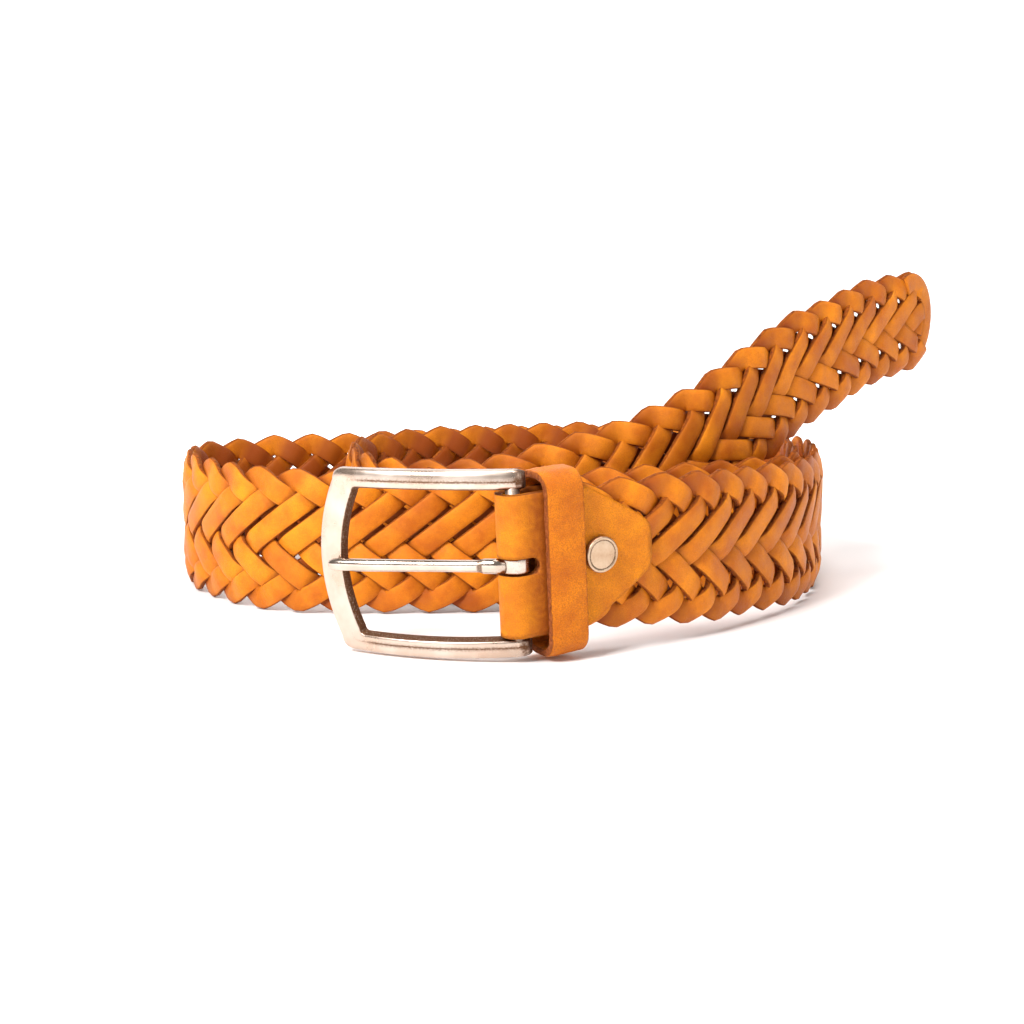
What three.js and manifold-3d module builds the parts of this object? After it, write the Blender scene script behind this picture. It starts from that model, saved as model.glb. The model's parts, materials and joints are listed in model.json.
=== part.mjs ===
// A braided leather belt, coiled twice and standing on its edge, with its free end rising.
// Millimetres, +X right, +Y back, +Z up; the origin is the middle of the foot of the whole belt.

import * as THREE from 'three';
import { mergeVertices } from 'three/addons/utils/BufferGeometryUtils.js';
import Module from 'manifold-3d';

const wasm = await Module();
wasm.setup();

// Braided strap
const strapWidth = 44;
const strapRootWidth = 41;
const strapTipWidth = 35;
const strapThickness = 4.6;
const braidPitch = 13;
const scallopDepth = 1.2;
const braidRelief = 0.5;
const faceShares = [-1, -0.55, 0, 0.55, 1];
const tipRounding = 15;
const tipSquareness = 0.3;

// Coil, measured along the middle of the strap
const coilWidth = 202;
const coilDepth = 190;
const barAcross = 0.519;
const barBack = -0.05;

// Buckle tab, a folded leather strip that holds the start of the braid
const leather = 2.1;
const fit = 0.35;
const tabWidth = 37.2;
const tabLength = 39.3;
const tabTurn = 30.6;
const tailShoulder = 18;
const prongSlotLength = 5;
const braidStart = 18.5;

// Lean of the root, where the buckle pulls the end of the strap over, and how it dies out
const rootForward = 4.6;
const rootSideways = 2.46;
const strapDip = 4;
const rootStraight = 25;
const rootTwist = 60;

// Keeper loop
const keeperLength = 11.4;
const keeperStart = 6;
const keeperLeather = 2.2;
const keeperHeight = 51;
const keeperCorner = 5.5;
const keeperLift = 0.3;

// Snap stud
const studCapDiameter = 9.8;
const studCapHeight = 1.7;
const studBackDiameter = 8.4;
const studBackHeight = 1.1;
const studBackTaper = 0.95;
const studPostDiameter = 3.4;
const studPlace = 22.8;

// Buckle
const frameLength = 55.4;
const railHeight = 5.5;
const railGap = 1;
const frameThickness = 4.2;
const endThickness = 3.3;
const frameBow = 4.6;
const frameCrown = 5.5;
const frameTaper = 0.02;
const railSwell = 0.45;
const frameCorner = 3;
const windowCorner = 1.2;
const windowCrown = 4.4;
const endBarWidth = 8.3;
const railEnd = 2.8;
const railPinch = 0.8;
const barDiameter = 3.8;
const barLift = 1.5;
const frameYaw = 19.7;

// Prong
const prongWidth = 4;
const prongThickness = 3.2;
const prongOverhang = 4.5;
const prongRingWall = 1.6;
const prongClearance = 0.3;
const prongDroop = 0.9;
const prongSeat = 0.45;
const prongLevel = 0.8;

// The way of the strap round the coil: shares of the coil's width and depth from its left side
// and from the buckle bar, and the raise of its lower edge as a share of the strap's width
const strapWay = [
  { across: 0.781, back: 0.136, raise: 0.08 },
  { across: 0.845, back: 0.220, raise: 0.06 },
  { across: 0.920, back: 0.330, raise: 0.03 },
  { across: 0.973, back: 0.465, raise: 0.01 },
  { across: 1.000, back: 0.595, raise: 0 },
  { across: 1.007, back: 0.730, raise: 0 },
  { across: 0.978, back: 0.865, raise: 0 },
  { across: 0.903, back: 0.960, raise: 0 },
  { across: 0.795, back: 1.000, raise: 0 },
  { across: 0.655, back: 0.990, raise: 0 },
  { across: 0.497, back: 0.947, raise: 0 },
  { across: 0.340, back: 0.880, raise: 0 },
  { across: 0.190, back: 0.811, raise: 0 },
  { across: 0.072, back: 0.758, raise: 0 },
  { across: 0.012, back: 0.690, raise: 0 },
  { across: 0.000, back: 0.605, raise: 0 },
  { across: 0.017, back: 0.510, raise: 0 },
  { across: 0.062, back: 0.427, raise: 0 },
  { across: 0.121, back: 0.353, raise: 0 },
  { across: 0.195, back: 0.308, raise: 0 },
  { across: 0.290, back: 0.297, raise: 0 },
  { across: 0.418, back: 0.305, raise: 0 },
  { across: 0.547, back: 0.316, raise: 0 },
  { across: 0.666, back: 0.329, raise: 0 },
  { across: 0.765, back: 0.366, raise: 0 },
  { across: 0.858, back: 0.424, raise: 0 },
  { across: 0.935, back: 0.492, raise: 0 },
  { across: 0.965, back: 0.565, raise: 0 },
  { across: 0.972, back: 0.665, raise: 0 },
  { across: 0.969, back: 0.775, raise: 0 },
  { across: 0.934, back: 0.870, raise: 0 },
  { across: 0.854, back: 0.932, raise: 0.01 },
  { across: 0.745, back: 0.953, raise: 0.03 },
  { across: 0.606, back: 0.924, raise: 0.05 },
  { across: 0.468, back: 0.868, raise: 0.05 },
  { across: 0.350, back: 0.805, raise: 0.05 },
  { across: 0.280, back: 0.726, raise: 0.04 },
  { across: 0.260, back: 0.632, raise: 0.03 },
  { across: 0.270, back: 0.537, raise: 0.02 },
  { across: 0.305, back: 0.458, raise: 0.01 },
  { across: 0.374, back: 0.408, raise: 0.01 },
  { across: 0.473, back: 0.392, raise: 0.03 },
  { across: 0.577, back: 0.405, raise: 0.14 },
  { across: 0.691, back: 0.429, raise: 0.30 },
  { across: 0.804, back: 0.474, raise: 0.53 },
  { across: 0.884, back: 0.534, raise: 0.785 },
  { across: 0.953, back: 0.603, raise: 1.0 },
  { across: 1.030, back: 0.682, raise: 1.15 },
  { across: 1.112, back: 0.774, raise: 1.29 },
  { across: 1.205, back: 0.879, raise: 1.37 },
  { across: 1.240, back: 0.918, raise: 1.39 },
];
const taperStart = 0.84;

// Tail of the tab beyond its shoulder: shares of what is left of the length, and of its half width
const tabTail = [
  { along: 0, half: 1 },
  { along: 0.12, half: 0.95 },
  { along: 0.25, half: 0.86 },
  { along: 0.55, half: 0.655 },
  { along: 0.80, half: 0.475 },
  { along: 0.93, half: 0.36 },
  { along: 0.98, half: 0.28 },
  { along: 1, half: 0.16 },
];

// Depth of the notches along the strap's edges, at even places in each repeat of the braid
const edgeNotches = [0, 0, 1, 1];

// Section of the frame: shares of the way from its outer to its inner side, and of its half thickness
const frameSection = [
  { across: 0.05, thick: -1 },
  { across: 0, thick: -0.6 },
  { across: 0, thick: 0.3 },
  { across: 0.1, thick: 0.7 },
  { across: 0.32, thick: 0.95 },
  { across: 0.6, thick: 1 },
  { across: 0.88, thick: 0.86 },
  { across: 1, thick: 0.5 },
  { across: 1, thick: -0.7 },
  { across: 0.93, thick: -1 },
];

// Side of the stud's cap from its middle to its seat: shares of its radius and height
const studCapShape = [
  { out: 0, rise: 1 },
  { out: 0.82, rise: 1 },
  { out: 0.96, rise: 0.8 },
  { out: 1, rise: 0.45 },
  { out: 0.97, rise: 0 },
];

// Side of the prong from the bar to its tip: shares of its length, width and thickness
const prongShape = [
  { along: 0.03, width: 1.0, thick: 0.9 },
  { along: 0.14, width: 1.0, thick: 1.0 },
  { along: 0.17, width: 0.78, thick: 0.9 },
  { along: 0.45, width: 0.82, thick: 0.9 },
  { along: 0.80, width: 0.86, thick: 0.9 },
  { along: 0.96, width: 0.84, thick: 0.85 },
  { along: 1.0, width: 0.5, thick: 0.5 },
];

// Steps and sides of the round shapes
const foldSteps = 10;
const holeSides = 16;
const studSides = 24;
const railSteps = 10;
const cornerSteps = 5;
const endSteps = 6;
const barSides = 16;
const ringSides = 20;
const prongSides = 10;
const keeperSteps = 5;

const degrees = Math.PI / 180;
const up = new THREE.Vector3(0, 0, 1);

const bridle = new THREE.MeshStandardMaterial({ color: '#c9741c', roughness: 0.55, metalness: 0 });
const braidLeather = new THREE.MeshStandardMaterial({ color: '#c4701a', roughness: 0.6, metalness: 0 });
const nickel = new THREE.MeshStandardMaterial({ color: '#b9aa9a', roughness: 0.32, metalness: 1 });
const prongNickel = new THREE.MeshStandardMaterial({ color: '#c3b8ac', roughness: 0.28, metalness: 1 });
const studMetal = new THREE.MeshStandardMaterial({ color: '#8f7c66', roughness: 0.4, metalness: 1 });

// Closed mesh with shared vertices as a solid that can be cut and joined
function toSolid(geometry) {
  const bare = geometry.clone();
  bare.deleteAttribute('normal');
  bare.deleteAttribute('uv');
  const merged = mergeVertices(bare, 1e-5);
  const vertProperties = new Float32Array(merged.attributes.position.array);
  const triVerts = new Uint32Array(merged.index.array);
  return new wasm.Manifold(new wasm.Mesh({ numProp: 3, vertProperties, triVerts }));
}

function toGeometry(solid) {
  const mesh = solid.getMesh();
  const geometry = new THREE.BufferGeometry();
  geometry.setAttribute('position', new THREE.BufferAttribute(new Float32Array(mesh.vertProperties), 3));
  geometry.setIndex(new THREE.BufferAttribute(new Uint32Array(mesh.triVerts), 1));
  geometry.computeVertexNormals();
  return geometry;
}

function signedVolume(points, faces) {
  let sum = 0;
  for (const [a, b, c] of faces) {
    sum += points[a].dot(new THREE.Vector3().crossVectors(points[b], points[c]));
  }
  return sum / 6;
}

// Skin over rings of equal length, closed at both ends
function loft(rings) {
  const count = rings[0].length;
  const points = rings.flat();
  const faces = [];
  for (let i = 0; i + 1 < rings.length; i++) {
    for (let j = 0; j < count; j++) {
      const k = (j + 1) % count;
      const low = i * count;
      const high = low + count;
      faces.push([low + j, low + k, high + k], [low + j, high + k, high + j]);
    }
  }
  const last = (rings.length - 1) * count;
  for (let j = 1; j + 1 < count; j++) {
    faces.push([0, j + 1, j], [last, last + j, last + j + 1]);
  }
  if (signedVolume(points, faces) < 0) {
    faces.forEach((face) => face.reverse());
  }
  const geometry = new THREE.BufferGeometry();
  geometry.setFromPoints(points);
  geometry.setIndex(faces.flat());
  geometry.computeVertexNormals();
  return geometry;
}

// Flat outline of [x, y] points raised into a prism along z
function prism(outline, height, options = {}) {
  const shape = new THREE.Shape(outline.map(([x, y]) => new THREE.Vector2(x, y)));
  return new THREE.ExtrudeGeometry(shape, { depth: height, bevelEnabled: false, ...options });
}

function addMesh(parent, name, geometry, material) {
  const mesh = new THREE.Mesh(geometry, material);
  mesh.name = name;
  parent.add(mesh);
  return mesh;
}

// Half of the space between the two leather layers, and their outer face
const layerInside = strapThickness / 2 + fit;
const layerOutside = layerInside + leather;

const frameHeight = tabWidth + 2 * (railGap + railHeight);
const barHeight = frameHeight / 2 + barLift;

// The root leans forward and to the left about the middle of the buckle bar
const belt = new THREE.Group();
const root = new THREE.Group();
root.position.set(barAcross * coilWidth, barBack * coilDepth, barHeight);
root.rotation.set(rootForward * degrees, -rootSideways * degrees, 0);
belt.add(root);
const tabGroup = new THREE.Group();
tabGroup.rotation.z = tabTurn * degrees;
root.add(tabGroup);
const buckleGroup = new THREE.Group();
buckleGroup.rotation.z = (180 - frameYaw) * degrees;
root.add(buckleGroup);
belt.updateMatrixWorld(true);
const rootRise = up.clone().transformDirection(root.matrixWorld);

// Middle of the strap at a distance from the bar, inside the tab
function onTab(distance) {
  const dip = strapDip * degrees;
  const point = new THREE.Vector3(distance * Math.cos(dip), 0, -distance * Math.sin(dip));
  return point.applyMatrix4(tabGroup.matrixWorld);
}

function strapCurve() {
  const points = [braidStart, (braidStart + tabLength) / 2, tabLength + leather].map(onTab);
  for (const { across, back, raise } of strapWay) {
    points.push(new THREE.Vector3(across * coilWidth, back * coilDepth, (0.5 + raise) * strapWidth));
  }
  const curve = new THREE.CatmullRomCurve3(points, false, 'centripetal');
  curve.arcLengthDivisions = 3000;
  return curve;
}

// Width of the strap, from its root to the taper of the free end, with the end rounded off
function widthAt(distance, total) {
  const root = strapRootWidth + (strapWidth - strapRootWidth) * Math.min(1, distance / tabLength);
  const taper = Math.max(0, distance / total - taperStart) / (1 - taperStart);
  const full = root + (strapTipWidth - strapWidth) * taper;
  const left = Math.min(1, (total - distance) / tipRounding);
  return full * Math.sqrt(Math.max(tipSquareness ** 2, 1 - (1 - left) ** 2));
}

// Direction of the strap's width: the root's own lean, turning upright along the first stretch
function riseAt(tangent, distance) {
  const turned = THREE.MathUtils.smoothstep(distance, rootStraight, rootTwist);
  const lean = rootRise.clone().lerp(up, turned);
  return lean.addScaledVector(tangent, -lean.dot(tangent)).normalize();
}

function makeStrap() {
  const curve = strapCurve();
  const total = curve.getLength();
  const perPitch = edgeNotches.length;
  const stations = Math.round((total / braidPitch) * perPitch);
  const rings = [];
  for (let i = 0; i <= stations; i++) {
    const along = i / stations;
    const middle = curve.getPointAt(along);
    const tangent = curve.getTangentAt(along);
    const rise = riseAt(tangent, along * total);
    const out = new THREE.Vector3().crossVectors(tangent, rise);
    const phase = (2 * Math.PI * i) / perPitch;
    const half = widthAt(along * total, total) / 2 - scallopDepth * edgeNotches[i % perPitch];
    const side = (face) => faceShares.map((share) => {
      const relief = braidRelief * (0.5 - 0.5 * Math.cos(phase - Math.PI * Math.abs(share)));
      const depth = face * (strapThickness / 2 - relief);
      return middle.clone().addScaledVector(rise, share * half).addScaledVector(out, depth);
    });
    rings.push([...side(1), ...side(-1).reverse()]);
  }
  return loft(rings);
}

// Strap with the hole that the stud passes through
function strapWithHole() {
  const hole = new THREE.CylinderGeometry(1, 1, 4 * layerOutside, holeSides);
  const radius = studPostDiameter / 2 + fit;
  hole.scale(radius, 1, radius);
  hole.translate(studPlace, 0, 0);
  hole.applyMatrix4(tabGroup.matrixWorld);
  return toGeometry(toSolid(makeStrap()).subtract(toSolid(hole)));
}

// Leather strip folded round the bar: a U in plan, cut to the tail's outline, slot and stud hole
function makeTab() {
  const arc = (radius, from, to) => Array.from({ length: foldSteps + 1 }, (_, i) => {
    const angle = from + ((to - from) * i) / foldSteps;
    return [radius * Math.cos(angle), radius * Math.sin(angle)];
  });
  const outer = arc(layerOutside, Math.PI / 2, (3 * Math.PI) / 2);
  const inner = arc(layerInside, (3 * Math.PI) / 2, Math.PI / 2);
  const strip = prism([
    [tabLength, layerOutside],
    ...outer,
    [tabLength, -layerOutside],
    [tabLength, -layerInside],
    ...inner,
    [tabLength, layerInside],
  ], tabWidth);
  strip.translate(0, 0, -tabWidth / 2);

  const left = tabLength - tailShoulder;
  const upper = tabTail.map(({ along, half }) => [tailShoulder + along * left, (half * tabWidth) / 2]);
  const lower = upper.map(([x, y]) => [x, -y]);
  const start = -2 * layerOutside;
  const outline = prism([
    [start, -tabWidth],
    [tailShoulder, -tabWidth],
    ...lower,
    ...upper.reverse(),
    [tailShoulder, tabWidth],
    [start, tabWidth],
  ], 4 * layerOutside);
  outline.rotateX(Math.PI / 2);
  outline.translate(0, 2 * layerOutside, 0);

  const slotHalf = prongWidth / 2 + 2 * fit;
  const slotRound = arc(slotHalf, -Math.PI / 2, Math.PI / 2);
  const slot = prism([[start, -slotHalf],
    ...slotRound.map(([x, y]) => [x + prongSlotLength - slotHalf, y]),
    [start, slotHalf]], 4 * layerOutside);
  slot.rotateX(Math.PI / 2);
  slot.translate(0, 2 * layerOutside, 0);

  const holeRadius = studPostDiameter / 2 + fit;
  const hole = new THREE.CylinderGeometry(holeRadius, holeRadius, 4 * layerOutside, holeSides);
  hole.translate(studPlace, 0, 0);
  return toGeometry(toSolid(strip).intersect(toSolid(outline)).subtract(toSolid(slot))
    .subtract(toSolid(hole)));
}

// Closed leather loop round the tab, a rounded rectangle seen along the tab
function makeKeeper() {
  const halfDepth = layerOutside + fit + keeperLeather;
  const halfHeight = keeperHeight / 2;
  const rounded = (shape, x, y, radius) => {
    shape.moveTo(x, y - radius);
    shape.absarc(x - radius, y - radius, radius, 0, Math.PI / 2);
    shape.absarc(radius - x, y - radius, radius, Math.PI / 2, Math.PI);
    shape.absarc(radius - x, radius - y, radius, Math.PI, 1.5 * Math.PI);
    shape.absarc(x - radius, radius - y, radius, 1.5 * Math.PI, 2 * Math.PI);
    shape.closePath();
    return shape;
  };
  const loop = rounded(new THREE.Shape(), halfDepth, halfHeight, keeperCorner);
  loop.holes.push(rounded(new THREE.Path(), halfDepth - keeperLeather, halfHeight - keeperLeather,
    keeperCorner - keeperLeather));
  const geometry = new THREE.ExtrudeGeometry(loop, {
    depth: keeperLength, bevelEnabled: false, curveSegments: keeperSteps,
  });
  geometry.rotateX(Math.PI / 2);
  geometry.rotateZ(Math.PI / 2);
  return geometry;
}

// Spool of the snap stud, its cap in front of the tab and its back plate behind
function makeStud() {
  const seat = layerOutside + fit;
  const cap = studCapDiameter / 2;
  const plate = studBackDiameter / 2;
  const post = studPostDiameter / 2;
  const front = studCapShape.map(({ out, rise }) => [out * cap, -seat - rise * studCapHeight]);
  const profile = [
    ...front,
    [post, -seat],
    [post, seat],
    [plate, seat],
    [studBackTaper * plate, seat + studBackHeight],
    [0, seat + studBackHeight],
  ];
  return new THREE.LatheGeometry(profile.map(([x, y]) => new THREE.Vector2(x, y)), studSides);
}

const railInside = tabWidth / 2 + railGap;

// Forward bow of the frame at a place along it, between the bar and its end
function bowAt(along) {
  return (4 * frameBow * along * (frameLength - along)) / frameLength ** 2;
}

// Half height of the frame's outer or inner side, which swells at its middle and narrows to its end
function halfAt(half, along) {
  const swell = (4 * railSwell * along * (frameLength - along)) / frameLength ** 2;
  return half * (1 - (frameTaper * along) / frameLength) + swell;
}

// One side of the frame from the upper rail's end to the middle of the end bar
function frameSide(half, end, crown, corner) {
  const points = [];
  const cornerPlace = end - crown;
  const straight = cornerPlace - corner + railEnd;
  for (let i = 0; i <= railSteps; i++) {
    const along = -railEnd + (straight * i) / railSteps;
    points.push([along, halfAt(half, along)]);
  }
  const top = halfAt(half, cornerPlace) - corner;
  for (let i = 1; i < cornerSteps; i++) {
    const angle = (Math.PI / 2) * (1 - i / cornerSteps);
    points.push([cornerPlace - corner + corner * Math.cos(angle), top + corner * Math.sin(angle)]);
  }
  for (let i = 0; i <= endSteps; i++) {
    const height = top * (1 - i / endSteps);
    points.push([cornerPlace + crown * (1 - (height / top) ** 2), height]);
  }
  return points;
}

// Bowed frame, open at its bar end, with the bar set into both rails
function makeFrame() {
  const outer = frameSide(frameHeight / 2, frameLength, frameCrown, frameCorner);
  const inner = frameSide(railInside, frameLength - endBarWidth, windowCrown, windowCorner);
  const around = (list) => [...list, ...list.slice(0, -1).reverse().map(([x, y]) => [x, -y])];
  const outside = around(outer);
  const inside = around(inner);
  const rings = outside.map(([x, y], i) => {
    const pinch = i === 0 || i === outside.length - 1 ? railPinch : 1;
    const middle = [(x + inside[i][0]) / 2, (y + inside[i][1]) / 2];
    const thickness = frameThickness + ((endThickness - frameThickness) * Math.max(0, x)) / frameLength;
    return frameSection.map(({ across, thick }) => {
      const along = middle[0] + (inside[i][0] - x) * (across - 0.5) * pinch;
      const height = middle[1] + (inside[i][1] - y) * (across - 0.5) * pinch;
      return new THREE.Vector3(along, (thick * pinch * thickness) / 2 + bowAt(along), height);
    });
  });
  const bar = new THREE.CylinderGeometry(barDiameter / 2, barDiameter / 2,
    2 * railInside + railHeight, barSides);
  bar.rotateX(Math.PI / 2);
  return toGeometry(toSolid(loft(rings)).add(toSolid(bar)));
}

// Prong: a ring on the bar and a shaft that rests in front of the frame's end
function makeProng() {
  const ringInside = barDiameter / 2 + prongClearance;
  const ringOutside = ringInside + prongRingWall;
  const ring = new THREE.LatheGeometry([
    [ringInside, -prongWidth / 2],
    [ringOutside, -prongWidth / 2],
    [ringOutside, prongWidth / 2],
    [ringInside, prongWidth / 2],
    [ringInside, -prongWidth / 2],
  ].map(([x, y]) => new THREE.Vector2(x, y)), ringSides);
  ring.rotateX(Math.PI / 2);

  const length = frameLength - prongOverhang;
  const rest = endThickness / 2 + bowAt(frameLength - endBarWidth) + prongClearance;
  const rootMiddle = ringOutside - prongSeat * prongThickness;
  const rings = prongShape.map(({ along, width, thick }) => {
    const halfWidth = (width * prongWidth) / 2;
    const halfThick = (thick * prongThickness) / 2;
    const seat = rest + prongSeat * prongThickness;
    const middle = rootMiddle + (seat - rootMiddle) * Math.min(1, along / prongLevel);
    return Array.from({ length: prongSides }, (_, i) => {
      const angle = (2 * Math.PI * i) / prongSides;
      return new THREE.Vector3(along * length, middle + halfThick * Math.cos(angle),
        halfWidth * Math.sin(angle) - prongDroop * along);
    });
  });
  const clear = new THREE.CylinderGeometry(ringInside, ringInside, 2 * prongWidth, ringSides);
  clear.rotateX(Math.PI / 2);
  return toGeometry(toSolid(ring).add(toSolid(loft(rings))).subtract(toSolid(clear)));
}

addMesh(belt, 'braided_strap', strapWithHole(), braidLeather);
addMesh(tabGroup, 'buckle_tab', makeTab(), bridle);

const keeper = addMesh(tabGroup, 'keeper_loop', makeKeeper(), bridle);
keeper.position.set(keeperStart, 0, keeperLift);

const stud = addMesh(tabGroup, 'snap_stud', makeStud(), studMetal);
stud.position.x = studPlace;

addMesh(buckleGroup, 'buckle_frame', makeFrame(), nickel);
addMesh(buckleGroup, 'buckle_prong', makeProng(), prongNickel);

// The whole belt stands on z = 0, centred on the origin
const box = new THREE.Box3().setFromObject(belt);
const foot = box.getCenter(new THREE.Vector3()).setZ(box.min.z);
belt.position.sub(foot);

export default belt;
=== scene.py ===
import json
import math
import bpy
import bmesh
import numpy as np
from mathutils import Matrix, Vector


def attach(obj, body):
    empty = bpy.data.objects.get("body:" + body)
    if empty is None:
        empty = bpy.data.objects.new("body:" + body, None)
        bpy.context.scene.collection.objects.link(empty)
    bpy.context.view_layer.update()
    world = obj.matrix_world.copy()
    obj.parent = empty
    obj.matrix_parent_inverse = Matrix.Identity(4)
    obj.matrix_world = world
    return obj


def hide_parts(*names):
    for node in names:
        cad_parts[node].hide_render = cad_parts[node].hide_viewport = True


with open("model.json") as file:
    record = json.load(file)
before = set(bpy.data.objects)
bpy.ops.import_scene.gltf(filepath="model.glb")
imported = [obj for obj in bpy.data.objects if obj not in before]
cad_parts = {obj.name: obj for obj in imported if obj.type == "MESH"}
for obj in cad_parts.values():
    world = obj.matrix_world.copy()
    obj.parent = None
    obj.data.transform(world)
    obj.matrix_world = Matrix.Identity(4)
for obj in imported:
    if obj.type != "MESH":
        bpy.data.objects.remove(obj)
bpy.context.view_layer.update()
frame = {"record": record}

scene = bpy.context.scene
print("braided belt: frame loaded")

hinge = next(j for j in frame["record"]["behaviour"]["joints"] if j["name"] == "buckle_hinge")
barPoint = np.array(hinge["pos_m"])  # middle of the buckle bar

view = {
    "place": (-0.0210, -0.5724, 0.1099),
    "pitch": 8.32,
    "focalPixels": 1857,
    "framePixels": 1024,
    "sensor": 36,
    "nearest": 0.05,
}


def makeCamera():
    camera = bpy.data.cameras.new("studioCamera")
    camera.sensor_width = view["sensor"]
    camera.lens = view["sensor"] * view["focalPixels"] / view["framePixels"]
    camera.clip_start = view["nearest"]
    holder = bpy.data.objects.new("studioCamera", camera)
    holder.location = view["place"]
    holder.rotation_euler = (math.radians(90 - view["pitch"]), 0, 0)
    scene.collection.objects.link(holder)
    scene.camera = holder


makeCamera()
print("braided belt: camera placed")


def newPiece(name, points, faces, body, material, attributes):
    mesh = bpy.data.meshes.new(name)
    mesh.from_pydata([tuple(p) for p in points], [], faces)
    mesh.update()
    for key, values in attributes.items():
        layer = mesh.attributes.new(key, "FLOAT", "POINT")
        layer.data.foreach_set("value", np.asarray(values, dtype=np.float32))
    for polygon in mesh.polygons:
        polygon.use_smooth = True
    piece = bpy.data.objects.new(name, mesh)
    scene.collection.objects.link(piece)
    mesh.materials.append(material)
    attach(piece, body)
    return piece


def ringFaces(rings, count, closed=False):
    # quads between neighbouring rings, with fans over the two ends of an open run
    faces = []
    last = rings if closed else rings - 1
    for i in range(last):
        low = i * count
        high = ((i + 1) % rings) * count
        for j in range(count):
            k = (j + 1) % count
            faces.append((low + j, low + k, high + k, high + j))
    if not closed:
        faces.append(tuple(range(count - 1, -1, -1)))
        faces.append(tuple(range((rings - 1) * count, rings * count)))
    return faces


def faceOutward(piece):
    shape = bmesh.new()
    shape.from_mesh(piece.data)
    bmesh.ops.recalc_face_normals(shape, faces=shape.faces)
    shape.to_mesh(piece.data)
    shape.free()


def unit(vector):
    return vector / max(np.linalg.norm(vector), 1e-9)


def roundedSection(width, thickness, corner, steps, crown):
    # closed outline of a leather strip's cut, with how much each point belongs to a cut edge
    crownShare = 0.45  # how far out on each face its two raised points lie
    points = []
    edges = []
    halfWidth = width / 2
    halfThick = thickness / 2
    for cx, cy, start in ((halfWidth - corner, halfThick - corner, 0),
                          (-halfWidth + corner, halfThick - corner, 90),
                          (-halfWidth + corner, -halfThick + corner, 180),
                          (halfWidth - corner, -halfThick + corner, 270)):
        for i in range(steps + 1):
            angle = math.radians(start + 90 * i / steps)
            points.append((cx + corner * math.cos(angle), cy + corner * math.sin(angle)))
            edges.append(abs(math.cos(angle)))
        if start in (0, 180):
            side = 1 if start == 0 else -1
            for share in (crownShare, -crownShare):
                points.append((side * share * halfWidth, side * (halfThick + crown)))
                edges.append(0.0)
    return np.array(points), np.array(edges)


coil = {
    "width": 0.202,
    "depth": 0.190,
    "strapWidth": 0.044,
    "rootWidth": 0.041,
    "tipWidth": 0.035,
    "taperStart": 0.84,
    "tipRounding": 0.015,
    "barAcross": 0.519,
    "barBack": -0.05,
    "barHeight": 0.0266,
    "tabTurn": 30.6,
    "tabLength": 0.0393,
    "braidStart": 0.0185,
    "leanForward": 4.6,
    "leanSideways": -2.46,
    "dip": 4,
    "straightPastTab": 0.0021,
    "leanEnds": (0.025, 0.060),
    "lineStep": 0.0005,
}

# across and back are shares of the coil's width and depth, raise one of the strap's width
strapWay = [
    (0.781, 0.136, 0.08), (0.845, 0.220, 0.06), (0.920, 0.330, 0.03), (0.973, 0.465, 0.01),
    (1.000, 0.595, 0), (1.007, 0.730, 0), (0.978, 0.865, 0), (0.903, 0.960, 0),
    (0.795, 1.000, 0), (0.655, 0.990, 0), (0.497, 0.947, 0), (0.340, 0.880, 0),
    (0.190, 0.811, 0), (0.072, 0.758, 0), (0.012, 0.690, 0), (0.000, 0.605, 0),
    (0.017, 0.510, 0), (0.062, 0.427, 0), (0.121, 0.353, 0), (0.195, 0.308, 0),
    (0.290, 0.297, 0), (0.418, 0.305, 0), (0.547, 0.316, 0), (0.666, 0.329, 0),
    (0.765, 0.366, 0), (0.858, 0.424, 0), (0.935, 0.492, 0), (0.965, 0.565, 0),
    (0.972, 0.665, 0), (0.969, 0.775, 0), (0.934, 0.870, 0), (0.854, 0.932, 0.01),
    (0.745, 0.953, 0.03), (0.606, 0.924, 0.05), (0.468, 0.868, 0.05), (0.350, 0.805, 0.05),
    (0.280, 0.726, 0.04), (0.260, 0.632, 0.03), (0.270, 0.537, 0.02), (0.305, 0.458, 0.01),
    (0.374, 0.408, 0.01), (0.473, 0.392, 0.03), (0.577, 0.405, 0.14), (0.691, 0.429, 0.30),
    (0.804, 0.474, 0.53), (0.884, 0.534, 0.785), (0.953, 0.603, 1.0), (1.030, 0.682, 1.15),
    (1.112, 0.774, 1.29), (1.205, 0.879, 1.37), (1.240, 0.918, 1.39),
]

floorLevel = barPoint[2] - coil["barHeight"]
coilCorner = np.array([barPoint[0] - coil["barAcross"] * coil["width"],
                       barPoint[1] - coil["barBack"] * coil["depth"], floorLevel])
rootLean = np.array(Matrix.Rotation(math.radians(coil["leanForward"]), 3, "X")
                    @ Matrix.Rotation(math.radians(coil["leanSideways"]), 3, "Y"))
upward = np.array([0.0, 0.0, 1.0])
rootUp = rootLean @ upward


def leaningPair(turn):
    # level direction at a turn and the one square to it, both in the leaning root
    angle = math.radians(turn)
    ahead = np.array([math.cos(angle), math.sin(angle), 0])
    square = np.array([-math.sin(angle), math.cos(angle), 0])
    return rootLean @ ahead, rootLean @ square


tabAlong, tabBack = leaningPair(coil["tabTurn"])


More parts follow.
